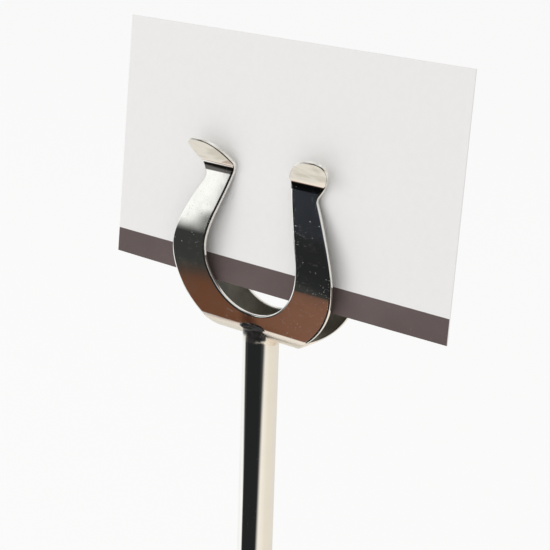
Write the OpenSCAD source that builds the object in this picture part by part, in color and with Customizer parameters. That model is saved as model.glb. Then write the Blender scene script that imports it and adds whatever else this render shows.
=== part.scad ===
// A place card stand. A sprung clip, folded from one sheet, grips a card between its two leaves.
// The clip is brazed on a slim stem, and the stem is screwed to a round weighted base.
// Millimetres. The origin is the centre of the foot on the table, +Z runs up the stem,
// and the front of the card faces -Y.

/* [Card] */
// Width of the card
card_w = 88.9; // [70:0.1:100]
// Height of the card
card_h = 50.8; // [40:0.1:70]
// Thickness of the card
card_t = 0.3; // [0.2:0.05:0.4]
// How far the middle of the card is right of the stem
card_aside = 3.4; // [0:0.1:8]
// How far the card reaches down below the pinch of the leaves
card_grip = 23.6; // [16:0.1:25]
// Angle by which the card leans back
card_lean = 3.8; // [0:0.1:4.5]
// Angle by which the card's right side droops
card_droop = 0.3; // [0:0.1:1]

/* [Clip sheet] */
// Thickness of the clip's sheet
sheet_t = 0.85; // [0.7:0.05:1]
// Radius inside the fold at the clip's foot
fold_r = 2.5; // [2.1:0.05:2.6]
// Depth of the fold from front to back
fold_depth = 7.1; // [7:0.1:8.2]
// Angle by which the leaves lean apart above the fold
leaf_out = 6.2; // [5:0.1:7.5]
// Angle by which the leaves lean together towards the pinch
leaf_in = 16.4; // [15.4:0.1:17.4]
// Radius of the gentle bend half way up a leaf
belly_r = 30; // [24:1:34]
// Radius inside the bend below a tab
tab_bend_r = 1.8; // [1:0.1:2.1]
// Height of the pinch above the underside of the fold
pinch_h = 33.7; // [32.5:0.1:36]
// Space between the card and each leaf at the pinch
pinch_gap = 0.2; // [0.15:0.01:0.3]

/* [Clip outline] */
// Width of the clip at its widest
clip_w = 43.4; // [40:0.2:50]
// Height of the widest place
clip_wide_h = 15.3; // [14:0.1:17]
// Width of the sheet under the fold
fold_w = 19.4; // [17:0.2:23]
// Width across the notches below the tabs
notch_w = 29.8; // [28:0.2:31]
// Height of the notches
notch_h = 31.4; // [30.5:0.1:31.8]
// Width across the outer ends of the tabs' bends
tabs_w = 34.2; // [32:0.2:36]
// Width of the opening at its widest
opening_w = 24.9; // [22:0.1:27]
// Height of the opening's widest place
opening_wide_h = 17.3; // [16:0.1:19]
// Height of the opening's lowest point
opening_floor_h = 5.5; // [4.5:0.1:7]
// Width of the opening between the tabs
mouth_w = 14.8; // [12:0.2:16]

/* [Tabs] */
// Angle by which a tab leans away from the card
tab_out = 32; // [28:1:38]
// Length of a tab along its slope
tab_len = 5.2; // [4:0.1:7]
// How far a tab's round end is splayed to the side
tab_splay = 3.1; // [2:0.1:4]
// How full the tab's end is: 1 is an ellipse, and less is squarer
tab_fullness = 0.75; // [0.6:0.05:1]

/* [Stem and brazed joint] */
// How far behind the stem's axis the middle of the fold is brazed
clip_back = 0.8; // [0:0.1:1.2]
// Angle by which the brazed clip leans forwards
clip_tilt = 1.4; // [0:0.1:2.2]
// Diameter of the stem
stem_d = 7.5; // [7:0.1:9]
// Height of the stem's top, where the clip sits
stem_top = 164; // [120:1:420]
// How far the filler spreads beyond the stem under the clip
braze_spread = 0.9; // [0.7:0.05:1.4]
// How far the filler runs down the stem
braze_down = 1.6; // [1.2:0.1:3]
// How far the filler climbs the front of the fold
braze_up = 2.4; // [1.8:0.1:2.6]
// Depth of the filler from front to back, as a share of its width
braze_depth_share = 0.84; // [0.82:0.01:1]

/* [Base] */
// Diameter of the base
base_d = 76; // [60:1:110]
// Height of the base's top, where the stem stands
base_h = 10; // [9.5:0.5:16]
// Height of the straight rim, measured from the table
rim_h = 3.2; // [2.6:0.1:5]
// Diameter of the flat seat in the middle of the cover
seat_d = 15; // [13:0.5:24]
// Thickness of the cover's sheet
cover_t = 0.8; // [0.6:0.05:1.2]
// Space between the weight's side and the cover
weight_gap = 0.2; // [0.1:0.05:0.5]
// Thickness of the foot pad
pad_t = 2; // [1.5:0.1:2.4]
// How far the pad stands proud of the cover's rim
pad_proud = 0.6; // [0.4:0.1:1]
// Space between the pad's side and the cover's rim
pad_gap = 0.6; // [0.3:0.1:1.5]

/* [Base screw] */
// Diameter of the screw's shank
screw_d = 4; // [3:0.5:4.5]
// Length of thread held in the stem
screw_hold = 9; // [7:0.5:14]
// Depth of the stem's bore past the screw's end
bore_spare = 2; // [1:0.5:4]
// Space round the thread in the stem's bore
thread_gap = 0.03; // [0.02:0.01:0.06]
// Space round the shank in the weight and the cover
shank_gap = 0.3; // [0.2:0.05:0.5]
// Diameter of the screw's head
head_d = 7.4; // [6.5:0.1:8.5]
// Height of the screw's head
head_h = 2.6; // [2.2:0.1:3]
// Width across the flats of the head's socket
socket_af = 2.5; // [2:0.5:3]
// Depth of the head's socket
socket_depth = 1.4; // [1:0.1:1.8]
// Space between the head and the pad
head_gap = 0.4; // [0.3:0.1:0.8]
// Outer diameter of the lock washer
washer_d = 7.8; // [7:0.1:9]
// Thickness of the lock washer
washer_t = 0.9; // [0.7:0.1:1.2]
// Width of the slit in the lock washer
washer_slit = 0.7; // [0.4:0.1:1]
// Space round the washer in the weight's recess
recess_gap = 0.8; // [0.4:0.1:1.5]

/* [Hidden] */

// Cuts run this far past the faces that they open
overrun = 1;
// Counts of straight pieces in a bend and in a long curve
bend_steps = 10;
curve_steps = 20;
$fn = 96;

// Where the long curves of the clip's outline bulge, as shares of the curve's own width and height:
// the first pull leaves the widest place straight up, the second one turns the curve to its end
outer_pull_shares = [[0, 0.31], [0.51, 0.67]];
inner_pull_shares = [[0, 0.25], [0.8, 0.65]];
// Lean of a tab's root beside the opening, as a share of the lean of the tab's outer side
root_lean_share = 0.33;

// Where the leaf's centre line starts and how its bends turn, each heading measured from level
web_z = sheet_t / 2;
fold_mid_r = fold_r + sheet_t / 2;
tab_mid_r = tab_bend_r + sheet_t / 2;
rise_heading = 90 - leaf_out;
close_heading = 90 + leaf_in;
tab_heading = 90 - tab_out;

// The fold's flat web ends where its bend, which bulges past the web, reaches the fold's depth
web_half = fold_depth / 2 - (fold_r + sheet_t) * sin(rise_heading);

// The two straight runs of a leaf are as long as it takes to reach the pinch at its height
pinch_y = card_t / 2 + pinch_gap + sheet_t / 2;
bends_move = turn(0, rise_heading, fold_mid_r) + turn(rise_heading, close_heading, belly_r)
    - turn(close_heading, 90, tab_mid_r);
reach_y = pinch_y - web_half - bends_move[0];
reach_z = pinch_h - web_z - bends_move[1];
leaf_turn = leaf_out + leaf_in;
lower_run = (reach_y * cos(leaf_in) + reach_z * sin(leaf_in)) / sin(leaf_turn);
upper_run = (reach_z * sin(leaf_out) - reach_y * cos(leaf_out)) / sin(leaf_turn);

// The centre line of one leaf from the middle of the web to the end of its tab
leaf_path = walk([[[0, web_z], 0]], [
    [web_half, rise_heading, fold_mid_r],
    [lower_run, leaf_turn, belly_r],
    [upper_run, tab_heading - close_heading, tab_mid_r],
    [tab_len, 0, 0]
]);
outer_face = beside(leaf_path, -sheet_t / 2);
// The place where the tab's bend ends and its flat begins
tab_root = leaf_path[len(leaf_path) - 2][0];

// The tab's base, from the opening's edge to the outer end of the bend
tab_mid_x = (tabs_w + mouth_w) / 4;
tab_half_w = (tabs_w - mouth_w) / 4;

// The weight's recess takes the washer, the screw's head and the space over the pad
recess_h = head_gap + head_h + washer_t;
washer_z = pad_t + head_gap + head_h;
screw_end = base_h + screw_hold;

// Movement of a point that turns from one heading to another on a circle, anticlockwise
function turn(from, to, r) = r * [sin(to) - sin(from), cos(from) - cos(to)];

// Points with their headings along a path, whose steps are [straight run, bend angle, bend radius]
function walk(path, steps, i = 0) =
    i == len(steps) ? path : walk(concat(path, step_on(path[len(path) - 1], steps[i])), steps, i + 1);
function step_on(last, step) =
    let (start = last[0] + step[0] * [cos(last[1]), sin(last[1])])
    concat([[start, last[1]]], step[1] == 0 ? [] : bend(start, last[1], step[1], step[2]));
function bend(start, heading, angle, r) = [
    for (i = [1 : bend_steps])
        let (now = heading + angle * i / bend_steps)
        [start + sign(angle) * turn(heading, now, r), now]
];

// Points beside a path, to its left when the distance is positive
function beside(path, distance) = [
    for (at = path) at[0] + distance * [-sin(at[1]), cos(at[1])]
];
function backwards(points) = [for (i = [len(points) - 1 : -1 : 0]) points[i]];
function mirrored(points) = [for (p = backwards(points)) [-p[0], p[1]]];

// A smooth curve between two points, whose pulls are shares of the way from the first to the last
function pulled(from, to, shares) = [
    for (i = [0 : curve_steps])
        let (s = i / curve_steps, way = to - from)
        from + 3 * s * pow(1 - s, 2) * scaled(way, shares[0])
            + 3 * s * s * (1 - s) * scaled(way, shares[1]) + pow(s, 3) * way
];
function scaled(way, share) = [way[0] * share[0], way[1] * share[1]];
function full(share) = sign(share) * pow(abs(share), tab_fullness);

// A quarter of an ellipse, from a low angle to its widest place
function quarter(centre_h, half_w, half_h, low_angle) = [
    for (i = [0 : curve_steps])
        let (a = low_angle * (1 - i / curve_steps))
        [half_w * cos(a), centre_h - half_h * sin(a)]
];

// The right half of the clip's outer edge, from the fold up to the tab's bend
fold_angle = acos(fold_w / clip_w);
outer_edge = concat(
    quarter(clip_wide_h, clip_w / 2, clip_wide_h / sin(fold_angle), fold_angle),
    pulled([clip_w / 2, clip_wide_h], [notch_w / 2, notch_h], outer_pull_shares),
    [[tabs_w / 2, tab_root[1]]]
);
// The right half of the opening's edge, from its lowest point up to the tab's bend
inner_edge = concat(
    quarter(opening_wide_h, opening_w / 2, opening_wide_h - opening_floor_h, 90),
    pulled([opening_w / 2, opening_wide_h], [mouth_w / 2, tab_root[1]], inner_pull_shares)
);

// Puts what is drawn about the middle of the clip's underside on the stem, as it was brazed
module brazed_place() {
    translate([0, clip_back, stem_top]) rotate([clip_tilt, 0, 0]) children();
}

// Lays a flat drawing, whose first axis is Y and second Z, along X
module along_x(length) {
    translate([-length / 2, 0, 0]) rotate([90, 0, 90]) linear_extrude(length) children();
}

// Lays a flat drawing, whose first axis is X and second Z, along Y
module along_y(length) {
    translate([0, length / 2, 0]) rotate([90, 0, 0]) linear_extrude(length) children();
}

// The sheet's section across both leaves: its outer face out and back, and its inner face
module sheet_section() {
    inner = beside(leaf_path, sheet_t / 2);
    polygon(concat(mirrored(outer_face), outer_face, backwards(inner), backwards(mirrored(inner))));
}

// Both leaves seen from the front, from the fold up to the bends of the tabs
module leaf_outline() {
    difference() {
        polygon(concat(mirrored(outer_edge), outer_edge));
        polygon(concat(
            [[-mouth_w / 2, tab_root[1] + overrun]], mirrored(inner_edge),
            inner_edge, [[mouth_w / 2, tab_root[1] + overrun]]
        ));
    }
}

// One tab laid flat: a full half round that is splayed to the side, with its root in the bend
module tab_outline() {
    root_len = tab_mid_r;
    root_splay = root_len * tab_splay / tab_len;
    near_x = tab_mid_x - tab_half_w + root_splay * root_lean_share;
    far_x = tab_mid_x + tab_half_w - root_splay;
    polygon(concat(
        [[near_x, -root_len], [far_x, -root_len]],
        [for (i = [0 : curve_steps])
            let (a = 180 * i / curve_steps)
            [tab_mid_x + tab_half_w * full(cos(a)) + tab_splay * full(sin(a)), tab_len * full(sin(a))]]
    ));
}

// A block that cuts one tab of the front leaf square to its own slope
module tab_block() {
    translate([0, -tab_root[0], tab_root[1]]) rotate([tab_out, 0, 0])
        along_y(2 * (sheet_t + overrun)) tab_outline();
}

// The folded sheet: its section, cut to the leaves' outline and to the four tabs
module spring_clip() {
    color("silver") brazed_place() intersection() {
        along_x(clip_w + 2 * overrun) sheet_section();
        union() {
            along_y(clip_w) leaf_outline();
            for (back = [0, 1], left = [0, 1])
                mirror([0, back, 0]) mirror([left, 0, 0]) tab_block();
        }
    }
}

// The filler round the stem's top: hollow below the fold, domed where it climbs the fold's round
module braze_section() {
    stem_r = stem_d / 2;
    rim_r = stem_r + braze_spread;
    crown_r = (fold_depth / 2 - clip_back - sheet_t / 2) / braze_depth_share;
    polygon(concat(
        [[0, -braze_down]],
        [for (i = [0 : bend_steps])
            let (a = 90 * i / bend_steps)
            [rim_r - braze_spread * cos(a), -braze_down * cos(a) * cos(a)]],
        [for (i = [1 : bend_steps])
            let (a = 90 * i / bend_steps)
            [crown_r + (rim_r - crown_r) * cos(a), braze_up * sin(a)]],
        [[0, braze_up]]
    ));
}

module clip_braze() {
    color("gainsboro") difference() {
        translate([0, 0, stem_top]) scale([1, braze_depth_share, 1]) rotate_extrude() braze_section();
        stem_rod();
        brazed_place() along_x(clip_w) polygon(concat(mirrored(outer_face), outer_face));
        sheet_seat();
    }
}

// The strip where the sheet rests on the stem, so that the filler leaves no film between them
module sheet_seat() {
    intersection() {
        cylinder(h = stem_top + overrun, d = stem_d);
        brazed_place() along_x(stem_d) square([2 * web_half, sheet_t], center = true);
    }
}

// The rod, whose top is dressed to the tilt of the clip's underside
module stem_rod() {
    difference() {
        translate([0, 0, base_h]) cylinder(h = stem_top + overrun - base_h, d = stem_d);
        brazed_place() translate([-stem_d, -stem_d, 0]) cube(2 * stem_d);
    }
}

// The stem, with the bore for the base screw in its foot
module stem() {
    color("silver") difference() {
        stem_rod();
        translate([0, 0, base_h - overrun])
            cylinder(h = overrun + screw_hold + bore_spare, d = screw_d + 2 * thread_gap);
    }
}

// Half a section through the base: a straight rim and a low dome up to the flat seat
module dome_section(floor_z, side_inset, top_inset) {
    seat_r = seat_d / 2;
    side_r = base_d / 2 - side_inset;
    top_z = base_h - top_inset;
    polygon(concat(
        [[0, floor_z], [side_r, floor_z]],
        [for (i = [0 : curve_steps])
            let (a = 90 * i / curve_steps)
            [seat_r + (side_r - seat_r) * cos(a), rim_h + (top_z - rim_h) * sin(a)]],
        [[0, top_z]]
    ));
}

// The pressed cover, open below, with a hole for the screw
module base_cover() {
    color("silver") difference() {
        rotate_extrude() dome_section(pad_proud, 0, 0);
        rotate_extrude() dome_section(pad_proud - overrun, cover_t, cover_t);
        cylinder(h = base_h + overrun, d = screw_d + 2 * shank_gap);
    }
}

// The cast weight that fills the cover, with the screw's hole and the recess for its head
module base_weight() {
    color("dimgray") difference() {
        rotate_extrude() dome_section(pad_t, cover_t + weight_gap, cover_t);
        cylinder(h = base_h + overrun, d = screw_d + 2 * shank_gap);
        translate([0, 0, pad_t - overrun])
            cylinder(h = overrun + recess_h, d = washer_d + 2 * recess_gap);
    }
}

// The screw, put in from below, with a hexagon socket in its head
module base_screw() {
    color("darkgray") translate([0, 0, pad_t + head_gap]) difference() {
        union() {
            cylinder(h = head_h, d = head_d);
            cylinder(h = screw_end - pad_t - head_gap, d = screw_d);
        }
        translate([0, 0, -overrun])
            cylinder(h = overrun + socket_depth, d = socket_af / cos(30), $fn = 6);
    }
}

// The split washer between the screw's head and the weight
module lock_washer() {
    color("darkgray") translate([0, 0, washer_z]) difference() {
        cylinder(h = washer_t, d = washer_d);
        translate([0, 0, -overrun]) cylinder(h = washer_t + 2 * overrun, d = screw_d + 2 * shank_gap);
        translate([0, -washer_slit / 2, -overrun])
            cube([washer_d, washer_slit, washer_t + 2 * overrun]);
    }
}

// The soft pad under the weight, which the stand rests on
module foot_pad() {
    color("black") cylinder(h = pad_t, d = base_d - 2 * (cover_t + pad_gap));
}

// The card, leaning back about the pinch, half way between the leaves
module card() {
    color("whitesmoke") brazed_place() translate([0, 0, pinch_h])
        rotate([-card_lean - clip_tilt, 0, 0]) translate([card_aside, 0, 0])
        rotate([0, card_droop, 0]) translate([-card_w / 2, -card_t / 2, -card_grip])
        cube([card_w, card_t, card_h]);
}

card();
spring_clip();
clip_braze();
stem();
base_cover();
base_weight();
base_screw();
lock_washer();
foot_pad();
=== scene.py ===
"""Looks of a place card stand: a sprung horseshoe clip on a slim stem grips a card, over a round weighted base."""
import math

import bmesh
import bpy
from mathutils import Matrix, Vector, noise


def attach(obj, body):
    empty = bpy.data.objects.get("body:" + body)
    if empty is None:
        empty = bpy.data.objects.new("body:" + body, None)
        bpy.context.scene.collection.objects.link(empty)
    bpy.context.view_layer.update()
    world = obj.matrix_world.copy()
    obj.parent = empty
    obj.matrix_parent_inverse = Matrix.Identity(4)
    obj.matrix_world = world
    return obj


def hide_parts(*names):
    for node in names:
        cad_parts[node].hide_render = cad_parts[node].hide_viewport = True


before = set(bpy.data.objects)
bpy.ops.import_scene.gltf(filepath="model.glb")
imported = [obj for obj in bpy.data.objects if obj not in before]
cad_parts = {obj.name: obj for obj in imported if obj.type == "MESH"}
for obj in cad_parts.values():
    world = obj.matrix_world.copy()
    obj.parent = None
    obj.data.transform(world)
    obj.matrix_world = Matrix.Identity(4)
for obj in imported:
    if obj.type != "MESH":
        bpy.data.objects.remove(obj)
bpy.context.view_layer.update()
MM = 0.001

# Sizes in millimetres and angles in degrees, the same as the solids have
CARD_W, CARD_H, CARD_T = 88.9, 50.8, 0.3
CARD_GRIP, CARD_ASIDE, CARD_LEAN, CARD_DROOP = 23.6, 3.4, 3.8, 0.3
SHEET_T = 0.85
CLIP_BACK, CLIP_TILT = 0.8, 1.4
FOLD_DEPTH = 7.1
LEAF_OUT, LEAF_IN, TAB_OUT = 6.2, 16.4, 32.0
FOLD_MID_R, BELLY_R, TAB_MID_R = 2.925, 30.0, 2.225
PINCH_H, PINCH_GAP = 33.7, 0.2
TAB_LEN, TAB_SPLAY, TAB_FULLNESS = 5.2, 3.1, 0.75
CLIP_HALF, CLIP_WIDE_H, FOLD_HALF = 21.7, 15.3, 9.7
NOTCH_HALF, NOTCH_H, TABS_HALF = 14.9, 31.4, 17.1
OPENING_HALF, OPENING_WIDE_H, OPENING_FLOOR_H, MOUTH_HALF = 12.45, 17.3, 5.5, 7.4
STEM_TOP, STEM_D = 164.0, 7.5
BORE_R, BORE_DEPTH, BORE_TIP = 2.03, 10.4, 0.6
BASE_R, BASE_H, RIM_H, SEAT_R, COVER_T = 38.0, 10.0, 3.2, 7.5, 0.8
SHANK_HOLE_R, RECESS_R, RECESS_TOP = 2.3, 4.7, 5.9
WEIGHT_GAP = 0.2
PAD_T, PAD_GAP, PAD_PROUD = 2.0, 0.6, 0.6

# What only the look has: the card's curl, from a share of its half height down, its printed band, and the rolled edge
# of the clip's sheet, with the share that it narrows by on the tabs
CURL, CURL_FROM = 0.6, 0.7
BAND_H, INK_DEPTH = 5.1, 0.035
ROLL_ACROSS, ROLL_DEEP, ROLL_MARGIN, ROLL_NARROWS = 0.42, 0.25, 0.08, 0.42


# ---------------------------------------------------------------- node trees

class Wire:
    """An output socket. Arithmetic on it adds Math nodes to its tree."""

    def __init__(self, tree, socket):
        self.tree, self.socket = tree, socket

    def maths(self, operation, first, second=0.0):
        return self.tree.node("ShaderNodeMath", {"operation": operation}, {0: first, 1: second})[0]

    def __add__(self, other):
        return self.maths("ADD", self, other)

    def __sub__(self, other):
        return self.maths("SUBTRACT", self, other)

    def __rsub__(self, other):
        return self.maths("SUBTRACT", other, self)

    def __mul__(self, other):
        return self.maths("MULTIPLY", self, other)

    def __truediv__(self, other):
        return self.maths("DIVIDE", self, other)

    __radd__ = __add__

    def sine(self):
        return self.maths("SINE", self)

    def cosine(self):
        return self.maths("COSINE", self)

    def least(self, other):
        return self.maths("MINIMUM", self, other)

    def most(self, other):
        return self.maths("MAXIMUM", self, other)

    def rise(self, low, high):
        """0 below low and 1 above high, with a smooth step between them."""
        made = self.tree.node(
            "ShaderNodeMapRange", {"interpolation_type": "SMOOTHSTEP"},
            {"Value": self, "From Min": low, "From Max": high},
        )
        return made[0]

    def between(self, low, high, soft):
        return self.rise(low - soft, low + soft) * (1 - self.rise(high - soft, high + soft))


class Made:
    """A node that was added: its outputs by name or number."""

    def __init__(self, tree, node):
        self.tree, self.node = tree, node

    def __getitem__(self, key):
        return Wire(self.tree, self.node.outputs[key])


class Tree:
    """A node tree, shader or geometry, that nodes are added to by one method."""

    def __init__(self, inside):
        self.inside = inside

    def node(self, kind, settings=None, sockets=None):
        made = self.inside.nodes.new(kind)
        for name, value in (settings or {}).items():
            if name == "stops":
                self.set_stops(made.color_ramp, value)
            else:
                setattr(made, name, value)
        for key, value in (sockets or {}).items():
            if isinstance(value, Wire):
                self.inside.links.new(value.socket, made.inputs[key])
            else:
                made.inputs[key].default_value = value
        return Made(self, made)

    def set_stops(self, ramp, stops):
        while len(ramp.elements) < len(stops):
            ramp.elements.new(0.5)
        for element, (position, colour) in zip(ramp.elements, stops):
            element.position, element.color = position, colour

    def vector(self, operation, first, second=(0, 0, 0)):
        return self.node("ShaderNodeVectorMath", {"operation": operation}, {0: first, 1: second})

    def blend(self, share, first, second):
        """The first colour where share is 0, the second where it is 1."""
        return self.node("ShaderNodeMix", {"data_type": "RGBA"}, {0: share, 6: first, 7: second})[2]

    def split(self, vector):
        """The parts of a vector, by the names X, Y and Z."""
        return self.node("ShaderNodeSeparateXYZ", {}, {0: vector})

    def cloud(self, at, scale, detail=3.0, roughness=0.5):
        values = {"Vector": at, "Scale": scale, "Detail": detail, "Roughness": roughness}
        return self.node("ShaderNodeTexNoise", {}, values)[0]

    def streaks(self, at, scales, detail=2.0, roughness=0.5):
        """A cloud that is drawn out, with a scale of its own along each axis."""
        return self.cloud(self.vector("MULTIPLY", at, scales)[0], 1.0, detail, roughness)

    def cells(self, at, scale):
        return self.node("ShaderNodeTexVoronoi", {"feature": "F1"}, {"Vector": at, "Scale": scale})


def rgb(r, g, b):
    """A colour as the eye reads it, 0 to 255, turned into light."""
    parts = [c / 255 for c in (r, g, b)]
    return tuple(c / 12.92 if c <= 0.04045 else ((c + 0.055) / 1.055) ** 2.4 for c in parts) + (1.0,)


def material(name, constants):
    """An empty material with its shader's constant sockets set, and its tree."""
    made = bpy.data.materials.new(name)
    made.use_nodes = True
    tree = Tree(made.node_tree)
    made.node_tree.nodes.clear()
    shader = tree.node("ShaderNodeBsdfPrincipled", {}, constants)
    tree.node("ShaderNodeOutputMaterial", {}, {"Surface": shader["BSDF"]})
    return made, tree, shader.node


def feed(tree, shader, links):
    for name, wire in links.items():
        tree.inside.links.new(wire.socket, shader.inputs[name])


def object_place(tree):
    return tree.node("ShaderNodeTexCoord")["Object"]


def bump(tree, height, distance, strength=1.0):
    return tree.node("ShaderNodeBump", {}, {"Height": height, "Distance": distance, "Strength": strength})["Normal"]


# ---------------------------------------------------------------- finishes

STEEL_TINT = rgb(250, 248, 242)


def specks(tree, at, scale, channel, dot, share, patches):
    """Round dots in some of the cells of a loose grid, within patches."""
    cells = tree.cells(at, scale)
    chance = tree.node("ShaderNodeSeparateColor", {}, {0: cells["Color"]})[channel]
    return (1 - cells["Distance"].rise(*dot)) * chance.rise(share, share + 0.1) * patches


def clip_marks_and_painted_reflection(tree, at, haze, colour, sheen):
    """A dull inside and underside, a heat stain and streaked tabs, which making the clip left, and a painted dark
    reflection at the tabs' bends.
    """
    flat = tree.split(tree.node("ShaderNodeAttribute", {"attribute_name": "on_sheet"})["Vector"])
    along, depth = flat["Y"], flat["Z"]
    inside, outside = depth.rise(0.3 * MM, 0.42 * MM), 1 - depth.rise(-0.42 * MM, -0.3 * MM)

    dull = inside * (1 - along.rise((TAB_AT - 3) * MM, TAB_AT * MM))
    colour = tree.blend(dull, colour, tree.blend(haze.rise(0.3, 0.7), rgb(170, 167, 156), rgb(150, 147, 137)))
    under = outside * (1 - along.rise(3.3 * MM, 4.4 * MM))
    sheen = sheen + dull * 0.3 + under * 0.28

    over_stem = (-0.0008, -0.0042, 0.1678)
    heated = 1 - tree.vector("DISTANCE", at, over_stem)["Value"].rise(0.7 * MM, 3.4 * MM)
    colour = tree.blend(heated * 0.8, colour, rgb(126, 116, 108))

    rubbed = tree.streaks(at, (240, 240, 800), 1.0).rise(0.45, 0.75) * along.rise(ROOT_AT * MM, (ROOT_AT + 0.8) * MM)
    colour = tree.blend(rubbed * 0.5, colour, rgb(206, 200, 188))
    # Painted reflection: the outside of each tab's bend is darkened, standing in for its mirror image of the room's
    # dark side
    painted_dark_reflection = along.between((TAB_AT - 0.6) * MM, (TAB_AT + 0.9) * MM, 0.12 * MM) * outside
    return tree.blend(painted_dark_reflection * 0.9, colour, rgb(58, 54, 50)), sheen


def polished_steel(name, line_scale, lumps, dust, marks=None):
    """Mirror-polished sheet and rod: a warm grey metal with faint polishing lines, haze, and some dust on it."""
    made, tree, shader = material(name, {})
    at = object_place(tree)
    lines = tree.streaks(at, (line_scale, line_scale, line_scale / 40))
    haze = tree.cloud(at, 260.0, 4.0)
    wide = tree.cloud(at, 55.0, 2.0)
    large = specks(tree, at, 1500.0, 0, (0.05, 0.16), 0.45, tree.cloud(at, 130.0, 2.0).rise(0.42, 0.62))
    fine = specks(tree, at, 2600.0, 1, (0.06, 0.15), 0.3, tree.cloud(at, 95.0, 2.0).rise(0.47, 0.62))
    speck = large.most(fine * 0.8) * dust
    hazed_tint = tuple(c * 0.95 for c in STEEL_TINT[:3]) + (1,)
    colour = tree.blend(haze.rise(0.35, 0.75) * 0.35, STEEL_TINT, hazed_tint)
    sheen = 0.03 + haze.rise(0.3, 0.8) * 0.035 + lines * 0.02
    if marks:
        colour, sheen = marks(tree, at, haze, colour, sheen)
    feed(tree, shader, {
        "Base Color": tree.blend(speck, colour, rgb(176, 172, 168)),
        "Metallic": 1 - speck * 0.9,
        "Roughness": sheen + speck * 0.6,
        "Normal": bump(tree, wide * lumps + lines * 0.008 + speck * 0.4, 0.03 * MM, 0.5),
    })
    return made


def filler_metal():
    """Brazing filler, flowed and polished with the rest: softly lumpy, with a few pits, and dark flux to its left."""
    made, tree, shader = material("brazing_filler", {})
    at = object_place(tree)
    flow = tree.cloud(at, 620.0, 2.0)
    pit = 1 - tree.cells(at, 1300.0)["Distance"].rise(0.06, 0.22)
    colour = tree.blend(flow.rise(0.4, 0.8), rgb(246, 238, 226), rgb(232, 218, 200))
    bare_side = (0.736, 0.676, 0.0)
    rightwards = tree.vector("DOT_PRODUCT", at, bare_side)["Value"] + (flow - 0.5) * (0.8 * MM)
    up = tree.split(at)["Z"] - STEM_TOP * MM
    high, lumpy = up.rise(0.3 * MM, 1.3 * MM), up.rise(-1.3 * MM, 0.5 * MM)
    flared = rightwards - up.rise(-0.9 * MM, 0.9 * MM) * (0.6 * MM)
    low = rightwards.rise(-3.4 * MM, -2.8 * MM) * (up + (flow - 0.5) * (3 * MM)).rise(-0.9 * MM, 0.3 * MM)
    flux = (1 - flared.rise(0.2 * MM, 0.7 * MM)) * high.most(low)
    colour = tree.blend(flux, colour, tree.blend(flow.rise(0.35, 0.7), rgb(34, 33, 34), rgb(54, 51, 50)))
    feed(tree, shader, {
        "Metallic": 1 - flux * 0.9,
        "Base Color": tree.blend(pit * high * 0.5, colour, rgb(110, 96, 82)),
        "Roughness": 0.04 + flow * 0.06 * lumpy + pit * high * 0.3,
        "Normal": bump(tree, (flow - pit * 0.3) * lumpy, 0.12 * MM, 0.7),
    })
    return made


def card_stock(turn_back):
    """Smooth uncoated card: paper fibres, a faint mottle, and a plain dark band printed on its front."""
    made, tree, shader = material("card_stock", {"Metallic": 0.0, "Specular IOR Level": 0.3, "Sheen Weight": 0.08})
    at = object_place(tree)
    own = tree.node("ShaderNodeMapping", {"vector_type": "TEXTURE"}, {
        "Vector": at, "Location": turn_back.to_translation(), "Rotation": turn_back.to_euler(),
    })[0]
    place = tree.split(own)
    fibres = tree.streaks(at, (2600, 2600, 900), 4.0, 0.6)
    mottle = tree.cloud(at, 700.0, 3.0)
    wide = tree.cloud(at, 60.0, 2.0)
    paper = tree.blend(mottle.rise(0.35, 0.7) * 0.4, rgb(232, 231, 231), rgb(229, 228, 227))
    paper = tree.blend(fibres.rise(0.62, 0.82) * 0.3, paper, rgb(224, 223, 221))
    ragged = (mottle - 0.5) * (0.06 * MM)
    band_top = (BAND_H - CARD_GRIP) * MM
    band = 1 - (place["Z"] + ragged).rise(band_top - 0.04 * MM, band_top + 0.04 * MM)

    # The ink lies on the front alone, also where the lower edge curls
    across = place["X"] / (CARD_W / 2 * MM)
    low = ((1 - CURL_FROM - (place["Z"] + CARD_GRIP * MM) * (2 / CARD_H / MM)) / (1 - CURL_FROM)).most(0.0)
    uncurled = place["Y"] + low * low * (1 - across * across) * (CURL * MM)
    front = -CARD_T / 2 + INK_DEPTH
    band = band * (1 - uncurled.rise((front - 0.005) * MM, (front + 0.005) * MM))
    ink = tree.blend(wide.rise(0.3, 0.7), rgb(102, 89, 88), rgb(93, 80, 79))
    ink = tree.blend(fibres.rise(0.6, 0.85) * 0.45, ink, rgb(134, 124, 120))
    feed(tree, shader, {
        "Base Color": tree.blend(band, paper, ink),
        "Roughness": 0.82 - band * 0.2 + mottle * 0.1,
        "Normal": bump(tree, fibres + mottle * 0.6, 0.01 * MM, 0.35),
    })
    return made


def cast_metal():
    """The cast weight: sand-cast texture under black paint, rubbed grey on its high places."""
    made, tree, shader = material("cast_weight", {"Metallic": 0.0, "Specular IOR Level": 0.5})
    at = object_place(tree)
    sand = tree.cloud(at, 1400.0, 5.0, 0.65)
    wide = tree.cloud(at, 240.0, 3.0)
    colour = tree.blend(sand.rise(0.55, 0.75), rgb(44, 44, 46), rgb(82, 80, 78))
    feed(tree, shader, {
        "Base Color": tree.blend(wide.rise(0.55, 0.75) * 0.5, colour, rgb(60, 52, 46)),
        "Roughness": 0.55 + sand * 0.3,
        "Normal": bump(tree, sand + wide * 0.8, 0.2 * MM, 0.8),
    })
    return made


def plated_steel():
    """Zinc-plated fastener steel: turned marks, and darker, duller patches."""
    made, tree, shader = material("plated_steel", {"Metallic": 1.0})
    at = object_place(tree)
    turned = tree.streaks(at, (300, 300, 9000))
    patch = tree.cloud(at, 520.0, 4.0)
    colour = tree.blend(patch.rise(0.35, 0.7), rgb(196, 197, 199), rgb(160, 160, 158))
    feed(tree, shader, {
        "Base Color": colour,
        "Roughness": 0.26 + patch * 0.22 + turned * 0.08,
        "Normal": bump(tree, turned, 0.02 * MM, 0.5),
    })
    return made


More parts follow.
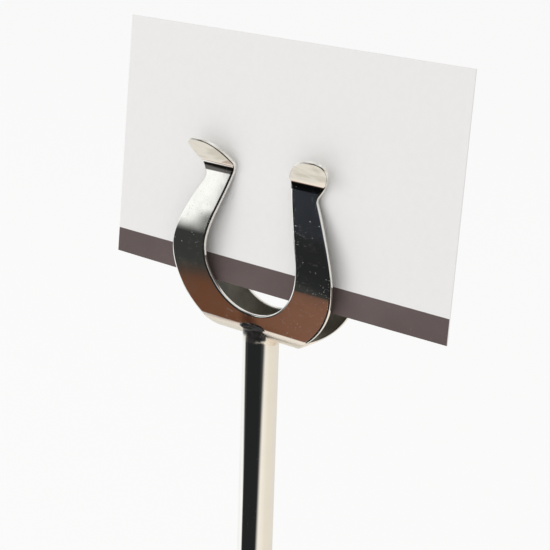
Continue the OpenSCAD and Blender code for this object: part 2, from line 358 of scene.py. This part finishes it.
def foam_rubber():
    """Fine closed-cell foam: tiny open cells, a slight dusty bloom."""
    made, tree, shader = material("foam_pad", {"Metallic": 0.0, "Specular IOR Level": 0.35})
    at = object_place(tree)
    cell = tree.cells(at, 2600.0)["Distance"]
    bloom = tree.cloud(at, 180.0, 4.0)
    colour = tree.blend(cell.rise(0.1, 0.6), rgb(24, 24, 25), rgb(54, 54, 55))
    feed(tree, shader, {
        "Base Color": tree.blend(bloom.rise(0.5, 0.75) * 0.4, colour, rgb(84, 82, 80)),
        "Roughness": 0.8 + bloom * 0.15,
        "Normal": bump(tree, cell, 0.2 * MM, 0.8),
    })
    return made


# ---------------------------------------------------------------- shapes

def piece_from(bm, name, finish=None):
    mesh = bpy.data.meshes.new(name)
    bm.to_mesh(mesh)
    bm.free()
    made = bpy.data.objects.new(name, mesh)
    bpy.context.scene.collection.objects.link(made)
    if finish:
        mesh.materials.append(finish)
    return made


def shade(piece, angle):
    """Smooth, with the edges sharper than the angle kept."""
    piece.data.shade_smooth()
    piece.data.set_sharp_from_angle(angle=math.radians(angle))


def bake(piece):
    """The piece with its modifiers made into a plain mesh."""
    bpy.context.view_layer.update()
    evaluated = piece.evaluated_get(bpy.context.evaluated_depsgraph_get())
    mesh = bpy.data.meshes.new_from_object(evaluated)
    piece.modifiers.clear()
    piece.data = mesh
    return piece


def spun(name, profile, steps, finish=None, smooth_angle=40):
    """A closed solid turned round the stem's axis from a profile of radius and height in millimetres."""
    bm = bmesh.new()
    rows = []
    for radius, height in profile:
        if radius < 1e-6:
            rows.append([bm.verts.new((0, 0, height * MM))])
        else:
            rows.append([
                bm.verts.new((
                    radius * MM * math.cos(2 * math.pi * k / steps),
                    radius * MM * math.sin(2 * math.pi * k / steps), height * MM,
                )) for k in range(steps)
            ])
    for low, high in zip(rows, rows[1:] + rows[:1]):
        if len(low) == 1 and len(high) == 1:
            continue
        for k in range(steps):
            ring = [low[k % len(low)], low[(k + 1) % len(low)], high[(k + 1) % len(high)], high[k % len(high)]]
            bm.faces.new([v for i, v in enumerate(ring) if v not in ring[:i]])
    bmesh.ops.recalc_face_normals(bm, faces=bm.faces)
    made = piece_from(bm, name, finish)
    shade(made, smooth_angle)
    return made


def rounded(corners, radius, steps=5):
    """A closed profile whose corners are rounded. A corner with a third value has its own radius."""
    out = []
    for i, corner in enumerate(corners):
        here = Vector(corner[:2])
        back, on = Vector(corners[i - 1][:2]), Vector(corners[(i + 1) % len(corners)][:2])
        r = corner[2] if len(corner) > 2 else radius
        into, away = (here - back).normalized(), (on - here).normalized()
        half = into.angle(away) / 2
        if r == 0 or half < 0.01:
            out.append(tuple(here))
            continue
        cut = r * math.tan(half)
        start, end = here - into * cut, here + away * cut
        for k in range(steps + 1):
            s = k / steps
            out.append(tuple(start * (1 - s) ** 2 + here * 2 * s * (1 - s) + end * s * s))
    return out


# ---------------------------------------------------------------- the clip

BRAZED_PLACE = Matrix.Translation((0, CLIP_BACK * MM, STEM_TOP * MM)) @ Matrix.Rotation(math.radians(CLIP_TILT), 4, "X")


def turn(start, end, radius):
    """How far out and up a bend goes between two angles of the sheet."""
    a, b = math.radians(start), math.radians(end)
    return radius * (math.sin(b) - math.sin(a)), radius * (math.cos(a) - math.cos(b))


RISE, CLOSE, TAB = 90 - LEAF_OUT, 90 + LEAF_IN, 90 - TAB_OUT
WEB_HALF = FOLD_DEPTH / 2 - (FOLD_MID_R + SHEET_T / 2) * math.sin(math.radians(RISE))
PINCH_Y = CARD_T / 2 + PINCH_GAP + SHEET_T / 2
moved = [
    fold + belly - tab for fold, belly, tab
    in zip(turn(0, RISE, FOLD_MID_R), turn(RISE, CLOSE, BELLY_R), turn(CLOSE, 90, TAB_MID_R))
]
reach_y, reach_z = PINCH_Y - WEB_HALF - moved[0], PINCH_H - SHEET_T / 2 - moved[1]
LEAF_TURN = LEAF_OUT + LEAF_IN
out_a, in_a, turn_a = (math.radians(a) for a in (LEAF_OUT, LEAF_IN, LEAF_TURN))
LOWER_RUN = (reach_y * math.cos(in_a) + reach_z * math.sin(in_a)) / math.sin(turn_a)
UPPER_RUN = (reach_z * math.sin(out_a) - reach_y * math.cos(out_a)) / math.sin(turn_a)

# The bends of a leaf: where each starts along the flat sheet, its signed radius and its angle
FOLD_AT = WEB_HALF
BELLY_AT = FOLD_AT + FOLD_MID_R * math.radians(RISE) + LOWER_RUN
TAB_AT = BELLY_AT + BELLY_R * turn_a + UPPER_RUN
TAB_TURN = CLOSE - TAB
ROOT_AT = TAB_AT + TAB_MID_R * math.radians(TAB_TURN)
BENDS = [(FOLD_AT, FOLD_MID_R, RISE), (BELLY_AT, BELLY_R, LEAF_TURN), (TAB_AT, -TAB_MID_R, -TAB_TURN)]


def bent(along, up):
    """Where a point of the flat sheet lies once it is bent: how far out, and how high."""
    y, z = along, up
    for start, radius, angle in reversed(BENDS):
        e = min(max(along - start, 0), radius * math.radians(angle))
        a = e / radius
        dy, dz = y - (start + e), z
        y = start + radius * math.sin(a) + dy * math.cos(a) - dz * math.sin(a)
        z = radius * (1 - math.cos(a)) + dy * math.sin(a) + dz * math.cos(a)
    return y, z + SHEET_T / 2


def flat_at(height):
    """How far along the flat sheet the leaf reaches a height."""
    low, high = 0.0, ROOT_AT
    for _ in range(40):
        middle = (low + high) / 2
        low, high = (middle, high) if bent(middle, 0)[1] < height else (low, middle)
    return low


ROOT_H = bent(ROOT_AT, 0)[1]


def pulled(start, end, first, second, steps):
    """A smooth curve between two points, whose pulls are shares of the way between them."""
    out = []
    wx, wz = end[0] - start[0], end[1] - start[1]
    for k in range(steps + 1):
        s = k / steps
        a, b, c = 3 * s * (1 - s) ** 2, 3 * s * s * (1 - s), s ** 3
        share_x, share_z = a * first[0] + b * second[0] + c, a * first[1] + b * second[1] + c
        out.append((start[0] + wx * share_x, start[1] + wz * share_z))
    return out


def full(share):
    """A round's share made fuller, so that the tab's end is squarer than an ellipse."""
    return math.copysign(abs(share) ** TAB_FULLNESS, share)


def blank_edge():
    """The cut edge of a quarter of the flat sheet, from the opening's lowest point round the tab to the fold."""
    rise = OPENING_WIDE_H - OPENING_FLOOR_H
    inner = [
        (OPENING_HALF * math.sin(t), OPENING_WIDE_H - rise * math.cos(t))
        for t in (math.pi / 2 * k / 48 for k in range(48))
    ] + pulled((OPENING_HALF, OPENING_WIDE_H), (MOUTH_HALF, ROOT_H), (0, 0.25), (0.8, 0.65), 44)
    low = math.acos(FOLD_HALF / CLIP_HALF)
    tall = CLIP_WIDE_H / math.sin(low)
    outer = [
        (CLIP_HALF * math.cos(low * (1 - k / 40)), CLIP_WIDE_H - tall * math.sin(low * (1 - k / 40)))
        for k in range(41)
    ] + pulled((CLIP_HALF, CLIP_WIDE_H), (NOTCH_HALF, NOTCH_H), (0, 0.31), (0.51, 0.67), 44)[1:]
    middle, half = (TABS_HALF + MOUTH_HALF) / 2, (TABS_HALF - MOUTH_HALF) / 2
    tab = [
        (middle - half * full(math.cos(a)) + TAB_SPLAY * full(math.sin(a)), ROOT_AT + TAB_LEN * full(math.sin(a)))
        for a in (math.pi * k / 96 for k in range(97))
    ]
    edge = [(x, flat_at(z)) for x, z in inner[:-1]] + tab
    edge += [(x, flat_at(z)) for x, z in reversed(outer) if z > SHEET_T / 2]
    return edge + [(edge[-1][0], 0.0)]


def evened(points, step):
    """The same line with its points evenly spaced."""
    runs = [0.0]
    for a, b in zip(points, points[1:]):
        runs.append(runs[-1] + math.dist(a, b))
    count = max(2, round(runs[-1] / step))
    out, j = [], 0
    for k in range(count + 1):
        want = runs[-1] * k / count
        while j < len(runs) - 2 and runs[j + 1] < want:
            j += 1
        s = (want - runs[j]) / max(runs[j + 1] - runs[j], 1e-9)
        out.append(tuple(a + (b - a) * s for a, b in zip(points[j], points[j + 1])))
    return out


def softened(points, rounds):
    """The same line with its corners eased a little. Its ends stay."""
    for _ in range(rounds):
        points = [points[0]] + [
            tuple((a + 2 * b + c) / 4 for a, b, c in zip(points[i - 1], points[i], points[i + 1]))
            for i in range(1, len(points) - 1)
        ] + [points[-1]]
    return points


def flat_blank(name):
    """A quarter of the sheet as it is cut, lying flat, with its edges rounded by the polishing."""
    edge = softened(evened(blank_edge(), step=0.22), rounds=4)
    profile = [(ROLL_ACROSS + ROLL_MARGIN, SHEET_T / 2)]
    profile += [
        (ROLL_ACROSS * (1 - math.sin(a)), SHEET_T / 2 - ROLL_DEEP * (1 - math.cos(a)))
        for a in (math.pi / 2 * k / 9 for k in range(10))
    ]
    profile += [(d, -q) for d, q in reversed(profile)]
    bm = bmesh.new()
    rings = []
    for i, (x, s) in enumerate(edge):
        before, after = edge[max(i - 1, 0)], edge[min(i + 1, len(edge) - 1)]
        way = Vector((after[0] - before[0], after[1] - before[1])).normalized()
        out = Vector((-way[1], way[0]))
        if i == 0:
            out = Vector((0, 1))
        if i == len(edge) - 1:
            out = Vector((1, 0))
        narrow = 1 - ROLL_NARROWS * min(max((s - TAB_AT) / (ROOT_AT - TAB_AT), 0.0), 1.0)
        rings.append([
            bm.verts.new(((x - out[0] * d * narrow) * MM, (s - out[1] * d * narrow) * MM, q * MM)) for d, q in profile
        ])
    for here, there in zip(rings, rings[1:]):
        for k in range(len(profile) - 1):
            bm.faces.new((here[k], there[k], there[k + 1], here[k + 1]))
    for level, q in ((0, 1), (-1, -1)):
        corner = bm.verts.new((0, 0, q * SHEET_T / 2 * MM))
        ring = [r[level] for r in rings] + [corner]
        bm.faces.new(ring if q < 0 else list(reversed(ring)))

    # Cuts across the blank, close together where it is to bend and just off its own points
    cuts = []
    off_points = 0.0007
    for start, radius, angle in BENDS:
        length = abs(radius) * math.radians(abs(angle))
        count = 14 if abs(radius) < 5 else 26
        cuts += [start + length * k / count for k in range(count + 1)]
    cuts += [FOLD_AT * k / 3 for k in (1, 2)]
    cuts += [FOLD_AT + FOLD_MID_R * math.radians(RISE) + LOWER_RUN * k / 8 for k in range(1, 8)]
    cuts += [BELLY_AT + BELLY_R * turn_a + UPPER_RUN * k / 8 for k in range(1, 8)]
    cuts += [ROOT_AT + TAB_LEN * k / 6 for k in range(1, 6)]
    for cut in sorted(cuts):
        bmesh.ops.bisect_plane(
            bm, geom=bm.verts[:] + bm.edges[:] + bm.faces[:], dist=1e-8,
            plane_co=(0, (cut + off_points) * MM, 0), plane_no=(0, 1, 0),
        )
    return piece_from(bm, name)


def bending_tree(finish):
    """A geometry tree that bends a flat blank three times along the leaf, and mirrors it to all four quarters."""
    group = bpy.data.node_groups.new("bend_and_mirror", "GeometryNodeTree")
    group.interface.new_socket("Geometry", in_out="INPUT", socket_type="NodeSocketGeometry")
    group.interface.new_socket("Geometry", in_out="OUTPUT", socket_type="NodeSocketGeometry")
    names = ("Fold", "Belly", "Tab")
    for name in names:
        for what in ("start", "radius", "angle"):
            group.interface.new_socket(f"{name} {what}", in_out="INPUT", socket_type="NodeSocketFloat")
    group.interface.new_socket("Lift", in_out="INPUT", socket_type="NodeSocketFloat")
    group.interface.new_socket("Brazed place", in_out="INPUT", socket_type="NodeSocketVector")
    group.interface.new_socket("Brazed tilt", in_out="INPUT", socket_type="NodeSocketVector")
    tree = Tree(group)
    given = tree.node("NodeGroupInput")
    place = tree.node("GeometryNodeInputPosition")["Position"]
    along = tree.split(place)["Y"]
    for name in reversed(names):
        start, radius, angle = (given[f"{name} {what}"] for what in ("start", "radius", "angle"))
        into = (along - start).most(0.0).least(radius * angle)
        turned = into / radius
        hinge = tree.node("ShaderNodeCombineXYZ", {}, {"Y": start + into})[0]
        place = tree.node(
            "ShaderNodeVectorRotate", {"rotation_type": "X_AXIS"},
            {"Vector": place, "Center": hinge, "Angle": turned},
        )[0]
        shift = tree.node("ShaderNodeCombineXYZ", {}, {
            "Y": radius * turned.sine() - into, "Z": radius * (1 - turned.cosine()),
        })[0]
        place = tree.vector("ADD", place, shift)[0]
    place = tree.vector("MULTIPLY", place, (1, -1, 1))[0]
    place = tree.vector("ADD", place, tree.node("ShaderNodeCombineXYZ", {}, {"Z": given["Lift"]})[0])[0]
    flat_place = tree.node("GeometryNodeInputPosition")["Position"]
    kept = tree.node(
        "GeometryNodeStoreNamedAttribute", {"data_type": "FLOAT_VECTOR", "domain": "POINT"},
        {"Geometry": given["Geometry"], "Name": "on_sheet", "Value": flat_place},
    )["Geometry"]
    leaf = tree.node("GeometryNodeSetPosition", {}, {"Geometry": kept, "Position": place})["Geometry"]
    for scale in ((-1, 1, 1), (1, -1, 1)):
        other = tree.node("GeometryNodeTransform", {}, {"Geometry": leaf, "Scale": scale})["Geometry"]
        other = tree.node("GeometryNodeFlipFaces", {}, {"Mesh": other})["Mesh"]
        join = tree.node("GeometryNodeJoinGeometry")
        for part in (leaf, other):
            group.links.new(part.socket, join.node.inputs[0])
        leaf = join["Geometry"]
    whole = tree.node("GeometryNodeMergeByDistance", {}, {"Geometry": leaf, "Distance": 0.000002})["Geometry"]
    whole = tree.node("GeometryNodeTransform", {}, {
        "Geometry": whole, "Translation": given["Brazed place"], "Rotation": given["Brazed tilt"],
    })["Geometry"]
    whole = tree.node("GeometryNodeRealizeInstances", {}, {"Geometry": whole})["Geometry"]
    whole = tree.node("GeometryNodeSetMaterial", {}, {"Geometry": whole, "Material": finish})["Geometry"]
    tree.node("NodeGroupOutput", {}, {"Geometry": whole})
    return group


def set_inputs(modifier, values):
    """Sets a geometry modifier's inputs by their sockets' identifiers."""
    known = {i.name: i.identifier for i in modifier.node_group.interface.items_tree if i.in_out == "INPUT"}
    for name, value in values.items():
        modifier[known[name]] = value


def spring_clip(finish):
    """The clip: one flat blank, bent, mirrored and set in its brazed place."""
    clip = flat_blank("sprung_clip")
    modifier = clip.modifiers.new("bend", "NODES")
    modifier.node_group = bending_tree(finish)
    values = {
        "Lift": SHEET_T / 2 * MM, "Brazed place": (0, CLIP_BACK * MM, STEM_TOP * MM),
        "Brazed tilt": (math.radians(CLIP_TILT), 0, 0),
    }
    for name, (start, radius, angle) in zip(("Fold", "Belly", "Tab"), BENDS):
        values[f"{name} start"], values[f"{name} radius"] = start * MM, radius * MM
        values[f"{name} angle"] = math.radians(angle)
    set_inputs(modifier, values)
    bake(clip)
    bm = bmesh.new()
    bm.from_mesh(clip.data)
    bmesh.ops.recalc_face_normals(bm, faces=bm.faces)
    bm.to_mesh(clip.data)
    bm.free()
    shade(clip, 35)
    return clip


# ---------------------------------------------------------------- the card

CARD_PLACE = (
    BRAZED_PLACE @ Matrix.Translation((0, 0, PINCH_H * MM))
    @ Matrix.Rotation(math.radians(-CARD_LEAN - CLIP_TILT), 4, "X")
    @ Matrix.Translation((CARD_ASIDE * MM, 0, 0)) @ Matrix.Rotation(math.radians(CARD_DROOP), 4, "Y")
)


def card(finish):
    """The card: a thin sheet with sharp cut edges, whose lower edge has curled a little forwards."""
    across, up = 64, 40
    bm = bmesh.new()
    grid = {}
    for side, y in ((0, -CARD_T / 2), (1, CARD_T / 2)):
        for i in range(across + 1):
            for j in range(up + 1):
                u, v = 2 * i / across - 1, 2 * j / up - 1
                curl = CURL * (max(0.0, -v - CURL_FROM) / (1 - CURL_FROM)) ** 2 * (1 - u * u)
                x, z = u * CARD_W / 2, (v + 1) / 2 * CARD_H - CARD_GRIP
                grid[side, i, j] = bm.verts.new(CARD_PLACE @ Vector((x * MM, (y - curl) * MM, z * MM)))
    for i in range(across):
        for j in range(up):
            for side in (0, 1):
                ring = [grid[side, i, j], grid[side, i + 1, j], grid[side, i + 1, j + 1], grid[side, i, j + 1]]
                bm.faces.new(ring if side == 0 else ring[::-1])
    for j in range(up):
        bm.faces.new((grid[0, 0, j], grid[0, 0, j + 1], grid[1, 0, j + 1], grid[1, 0, j]))
        bm.faces.new((grid[0, across, j], grid[1, across, j], grid[1, across, j + 1], grid[0, across, j + 1]))
    for i in range(across):
        bm.faces.new((grid[0, i, 0], grid[1, i, 0], grid[1, i + 1, 0], grid[0, i + 1, 0]))
        bm.faces.new((grid[0, i, up], grid[0, i + 1, up], grid[1, i + 1, up], grid[1, i, up]))
    made = piece_from(bm, "place_card", finish)
    shade(made, 30)
    return made


# ---------------------------------------------------------------- stem, braze and base

def stem(finish):
    """The rod, with the screw's bore in its foot and its top cut to the clip's tilt."""
    r = STEM_D / 2
    profile = rounded([
        (0, STEM_TOP, 0), (r, STEM_TOP, 0.15), (r, BASE_H, 0.25), (BORE_R, BASE_H, 0.2),
        (BORE_R, BASE_H + BORE_DEPTH, 0), (0, BASE_H + BORE_DEPTH + BORE_TIP, 0),
    ], 0.2)
    made = spun("rod_stem", profile, steps=128, finish=finish)
    slope = math.tan(math.radians(CLIP_TILT))
    near_top = (STEM_TOP - 1) * MM
    for v in made.data.vertices:
        if v.co.z > near_top:
            v.co.z += (v.co.y - CLIP_BACK * MM) * slope
    return made


def braze(finish):
    """The filler: it flares from the stem to the fold that it follows, is domed over it, and froze a little lumpy."""
    flat = 0.84
    stem_r, rim_r = STEM_D / 2 + 0.01, STEM_D / 2 + 0.95
    crown_r = (FOLD_DEPTH / 2 - CLIP_BACK - SHEET_T / 2) / flat
    fold_r = FOLD_MID_R + SHEET_T / 2
    start, low, rim, high = -1.9, -0.7, 0.35, 1.1
    quarter = [math.pi / 2 * k / 12 for k in range(13)]
    profile = [(0, start), (STEM_D / 2 - 0.015, start), (STEM_D / 2 - 0.005, (start + low) / 2)]
    profile += [(rim_r - (rim_r - stem_r) * math.cos(a), low + (rim - low) * math.sin(a)) for a in quarter]
    profile += [(crown_r + (rim_r - crown_r) * math.cos(a), rim + (high - rim) * math.sin(a)) for a in quarter[1:]]
    profile += [(0, high)]
    made = spun("brazed_joint", [(r, STEM_TOP + z) for r, z in profile], steps=96, finish=finish)
    for v in made.data.vertices:
        x, y = v.co.xy
        r = math.hypot(x, y) / MM
        rise = min(max((v.co.z / MM - STEM_TOP + 0.5) / 1.1, 0.0), 1.0)
        if r > 1:
            grow = rise * noise.noise(v.co * 320) * 0.1
            v.co.x += x / r * grow
            v.co.y += y / r * grow
        v.co.y *= 1 + (flat - 1) * rise
        if v.co.z > (STEM_TOP + low - 0.01) * MM:
            reach = min(abs(v.co.y - CLIP_BACK * MM) / MM, fold_r * 0.93)
            v.co.z += (fold_r - math.sqrt(fold_r ** 2 - reach ** 2)) * MM

    # The room that the fold and the rod take up is cut out of it, a little scant so that no gap shows
    leaf_run, wedge_half, scant = 14.0, 9, 0.03
    side = [bent(leaf_run * k / 120, -SHEET_T / 2 + scant) for k in range(121)]
    ring = side + [(-y, z) for y, z in reversed(side[1:])]
    bm = bmesh.new()
    loops = [
        [bm.verts.new(BRAZED_PLACE @ (Vector((x, y, z)) * MM)) for y, z in ring] for x in (-wedge_half, wedge_half)
    ]
    count = len(ring)
    for k in range(count):
        bm.faces.new((loops[0][k], loops[0][(k + 1) % count], loops[1][(k + 1) % count], loops[1][k]))
    bm.faces.new(loops[0])
    bm.faces.new(list(reversed(loops[1])))
    bmesh.ops.recalc_face_normals(bm, faces=bm.faces)
    rod_r, rod_low = stem_r - scant, STEM_TOP - 4
    cutters = (
        piece_from(bm, "fold_room"),
        spun("rod_room", [(0, rod_low), (rod_r, rod_low), (rod_r, STEM_TOP), (0, STEM_TOP)], steps=96),
    )
    for cutter in cutters:
        cut = made.modifiers.new("cut", "BOOLEAN")
        cut.operation, cut.solver, cut.object = "DIFFERENCE", "EXACT", cutter
    bake(made)
    for cutter in cutters:
        bpy.data.objects.remove(cutter)
    shade(made, 50)
    return made


def dome(top, side_r, steps=26):
    """The rise from the rim to the seat, as radii and heights."""
    return [
        (SEAT_R + (side_r - SEAT_R) * math.cos(a), RIM_H + (top - RIM_H) * math.sin(a))
        for a in (math.pi / 2 * k / steps for k in range(steps + 1))
    ]


def base_cover(finish):
    """The pressed cover: a straight rim with a rounded lip, a low dome, and a flat seat with the screw's hole."""
    in_r, in_top = BASE_R - COVER_T, BASE_H - COVER_T
    lip = rounded([(in_r, RIM_H, 0), (in_r, PAD_PROUD), (BASE_R, PAD_PROUD), (BASE_R, RIM_H, 0)], 0.3)
    hole = rounded([(SEAT_R, BASE_H, 0), (SHANK_HOLE_R, BASE_H), (SHANK_HOLE_R, in_top), (SEAT_R, in_top, 0)], 0.15)
    profile = lip[1:-1] + dome(BASE_H, BASE_R)[:-1] + hole + dome(in_top, in_r)[::-1][1:]
    return spun("pressed_cover", profile, steps=160, finish=finish, smooth_angle=50)


def base_weight(finish):
    """The cast weight that fills the cover, with a recess from below for the screw's head."""
    side_r, top = BASE_R - COVER_T - WEIGHT_GAP, BASE_H - COVER_T
    profile = rounded([
        (SHANK_HOLE_R, top), (SEAT_R, top, 0.3), *[(x, z, 0) for x, z in dome(top, side_r)[::-1][1:]],
        (side_r, PAD_T), (RECESS_R, PAD_T), (RECESS_R, RECESS_TOP), (SHANK_HOLE_R, RECESS_TOP),
    ], 0.3)
    return spun("cast_weight_disc", profile, steps=128, finish=finish)


def foot_pad(finish):
    """The soft disc that the stand rests on."""
    side_r = BASE_R - COVER_T - PAD_GAP
    profile = rounded([(0, 0, 0), (side_r, 0), (side_r, PAD_T), (0, PAD_T, 0)], 0.3)
    return spun("foam_foot", profile, steps=128, finish=finish)


# ---------------------------------------------------------------- put together

sheet_steel = polished_steel("polished_sheet", line_scale=4000, lumps=0.05, dust=0.75, marks=clip_marks_and_painted_reflection)
rod_steel = polished_steel("polished_rod", line_scale=5000, lumps=0.06, dust=0.12)
pressed_steel = polished_steel("polished_cover", line_scale=3000, lumps=0.1, dust=0.4)

pieces = [
    (spring_clip(sheet_steel), "stand", "spring_clip", "polished_steel"),
    (card(card_stock(CARD_PLACE)), "card", "card", "card_stock"),
    (stem(rod_steel), "stand", "stem", "polished_steel"),
    (braze(filler_metal()), "stand", "clip_braze", "braze_metal"),
    (base_cover(pressed_steel), "stand", "base_cover", "polished_steel"),
    (base_weight(cast_metal()), "stand", "base_weight", "cast_weight"),
    (foot_pad(foam_rubber()), "stand", "foot_pad", "pad_rubber"),
]
for piece, body, node, slot in pieces:
    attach(piece, body)
    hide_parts(node)
fastener = plated_steel()
for name in ("base_screw", "lock_washer"):
    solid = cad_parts[name]
    solid.data.materials.clear()
    solid.data.materials.append(fastener)
    shade(solid, 35)


# ---------------------------------------------------------------- floor, light and camera

def floor():
    """A pale table top, lightened by a glow that only the camera sees, so that its shadows stay soft."""
    made, tree, shader = material("floor_paint", {"Roughness": 0.9, "Specular IOR Level": 0.1})
    at = object_place(tree)
    feed(tree, shader, {"Base Color": tree.blend(tree.cloud(at, 3.0) * 0.4, rgb(246, 246, 245), rgb(243, 243, 243))})
    glow_share = 0.8
    seen = tree.node("ShaderNodeLightPath")["Is Camera Ray"]
    glow = tree.node("ShaderNodeEmission", {}, {"Color": rgb(252, 252, 252), "Strength": 1.0})["Emission"]
    both = tree.node("ShaderNodeMixShader", {}, {0: seen * glow_share, 1: Wire(tree, shader.outputs[0]), 2: glow})
    tree.node("ShaderNodeOutputMaterial", {"is_active_output": True}, {"Surface": both["Shader"]})
    bm = bmesh.new()
    bmesh.ops.create_grid(bm, x_segments=4, y_segments=4, size=14)
    under_pad = -0.05 * MM
    bmesh.ops.translate(bm, vec=(0, 0, under_pad), verts=bm.verts)
    plane = piece_from(bm, "floor", made)
    plane.visible_glossy = False


def mirrored_as(r, g, b):
    """The light that the polished metal shows as this colour."""
    return tuple(light / tint for light, tint in zip(rgb(r, g, b), STEEL_TINT))


def mirrored_ramp(tree, at, *stops):
    """Mirrored colours that follow a value from 0 to 1. A stop is its position and its colour."""
    stops = [(position, mirrored_as(*colour)) for position, *colour in stops]
    return tree.node("ShaderNodeValToRGB", {"stops": stops}, {0: at})[0]


def studio():
    """Soft light from all round, and a room for the polished metal to mirror: pale, with a dark side before the clip.

    Angles are in degrees. Side is 0 straight before the clip and grows to its right, and height is over the horizon.
    """
    world = bpy.data.worlds.new("studio")
    world.use_nodes = True
    world.node_tree.nodes.clear()
    tree = Tree(world.node_tree)
    way = tree.split(tree.node("ShaderNodeTexCoord")["Generated"])
    x, y, z = way["X"], way["Y"], way["Z"]
    degrees = 180 / math.pi
    side = x.maths("ARCTAN2", x, 0 - y) * degrees
    height = z.maths("ARCSINE", z) * degrees

    walls = mirrored_ramp(
        tree, (side + 180) / 360,
        (0.0, 222, 216, 206), (0.1, 232, 229, 222), (0.17, 247, 247, 243), (0.25, 241, 241, 237),
        (0.36, 255, 255, 250), (0.55, 250, 247, 238), (0.71, 239, 231, 217), (0.79, 229, 220, 203),
        (0.88, 227, 218, 202), (1.0, 222, 216, 206),
    )
    ceiling = mirrored_ramp(
        tree, height / 90, (0.0, 252, 252, 249), (0.45, 238, 236, 230), (0.75, 206, 203, 196), (1.0, 244, 243, 239),
    )
    sight = tree.blend(height.rise(18, 50), walls, ceiling)

    # Behind: the line of the room's far side over the table, broken by a bright doorway
    behind = side.rise(62, 74) + (1 - side.rise(-112, -98))
    far_side = behind * height.between(-9.5, 3.5, 1.4) * (1 - side.between(150, 172, 4))
    sight = tree.blend(far_side, sight, mirrored_as(70, 68, 67))
    sight = tree.blend(behind * height.between(-62, -33, 5) * 0.8, sight, mirrored_as(152, 143, 132))

    # The table's far half, cream, with a warm shade towards the dark side
    past_edge = (side + 50).least(0.0)
    brink = past_edge * 0.82 + past_edge * past_edge * 0.011 - 30.8
    below = (brink - height).most(((-66 - side) * 0.8).least(-29 - height))
    table = mirrored_ramp(
        tree, below / 5, (0.0, 116, 86, 72), (0.1, 152, 131, 119), (0.3, 198, 182, 168), (0.5, 222, 208, 194),
        (0.8, 238, 227, 212), (1.0, 238, 227, 212),
    )
    grey_table = tree.blend(below.rise(1, 4), table, mirrored_as(221, 216, 203))
    table = tree.blend(side.rise(-84, -70) * below.rise(1, 3), grey_table, table)
    sight = tree.blend(below.rise(-0.2, 0.2), sight, table)

    # The dark side of the room, in two parts that meet at an edge: ahead of the clip, and aside to its left
    edge = side.rise(-43.45, -42.95)
    left_brink = ((height + 15) * -2.8 - 67).most(-76.0).least(-51.0)
    right_brink = ((height + 15) * 1.4 + 64).most(40.0).least(70.0)
    ahead = edge * (1 - (side - right_brink).rise(-12, 11)) * (1 - height.rise(28, 55))
    aside = (side - left_brink).rise(-10, 10).most(side.rise(-53.5, -50)) * (1 - height.rise(-8.0, 1.0))
    aside = aside * height.rise(-28, -25).most(side.rise(-71, -65)) * (1 - below.rise(-0.8, 0.2)) * (1 - edge)
    dark = tree.blend(side.maths("ABSOLUTE", side).rise(38, 68), mirrored_as(35, 36, 36), mirrored_as(74, 74, 73))
    dark = tree.blend(height.rise(2, 16), dark, mirrored_as(46, 50, 57))
    dark = tree.blend(edge, mirrored_as(54, 55, 52), dark)
    sight = tree.blend(ahead + aside, sight, dark)

    # A dark beam over the window, and a brown edge between the dark side and the table
    beam = side.between(-84, -47, 4) * height.between(13, 58, 3)
    sight = tree.blend(beam, sight, mirrored_as(52, 50, 48))
    brown_top = (side + 49.3) * -0.31 - 25.9
    brown = side.between(-51.2, -36, 0.6) * (1 - (height - brown_top).rise(-0.25, 0.25)) * (1 - below.rise(-0.3, 0.5))
    tone = tree.blend(side.rise(-49, -45), mirrored_as(101, 65, 45), mirrored_as(122, 85, 67))
    sight = tree.blend(brown, sight, tone)

    mirrored = tree.node("ShaderNodeBackground", {}, {"Color": sight, "Strength": 1.0})
    soft = tree.node("ShaderNodeBackground", {}, {"Color": rgb(255, 255, 254), "Strength": 0.9})
    both = tree.node("ShaderNodeMixShader", {}, {
        0: tree.node("ShaderNodeLightPath")["Is Glossy Ray"], 1: soft[0], 2: mirrored[0],
    })
    tree.node("ShaderNodeOutputWorld", {}, {"Surface": both[0]})
    bpy.context.scene.world = world


def lamp(name, place, aim, size, watts, colour):
    data = bpy.data.lights.new(name, "AREA")
    data.shape, data.size, data.energy, data.color = "DISK", size, watts, colour
    made = bpy.data.objects.new(name, data)
    made.location = place
    made.rotation_euler = (Vector(aim) - Vector(place)).to_track_quat("-Z", "Y").to_euler()
    made.visible_glossy = False
    bpy.context.scene.collection.objects.link(made)


def camera():
    """The photograph's own place and lens, solved from the card, the clip and the stem."""
    right = Vector((0.73643, 0.67580, 0.03119))
    up = Vector((-0.20316, 0.17694, 0.96304))
    back = Vector((0.64530, -0.71554, 0.26759))
    target = Vector((0, 0, 165))
    place = target + 2.836 * right + 11.616 * up + 341.76 * back
    picture_width, focal_length = 550, 1679.07
    data = bpy.data.cameras.new("camera")
    data.sensor_width = 36
    data.lens = data.sensor_width * focal_length / picture_width
    data.clip_start, data.clip_end = 0.01, 100
    made = bpy.data.objects.new("camera", data)
    made.matrix_world = Matrix.Translation(place * MM) @ Matrix((right, up, back)).transposed().to_4x4()
    bpy.context.scene.collection.objects.link(made)
    bpy.context.scene.camera = made


floor()
studio()
lamp("key", place=(-0.75, -0.72, 0.75), aim=(0, 0, 0.19), size=0.8, watts=3.0, colour=(1, 0.99, 0.98))
camera()
bpy.context.scene.view_settings.view_transform = "Standard"
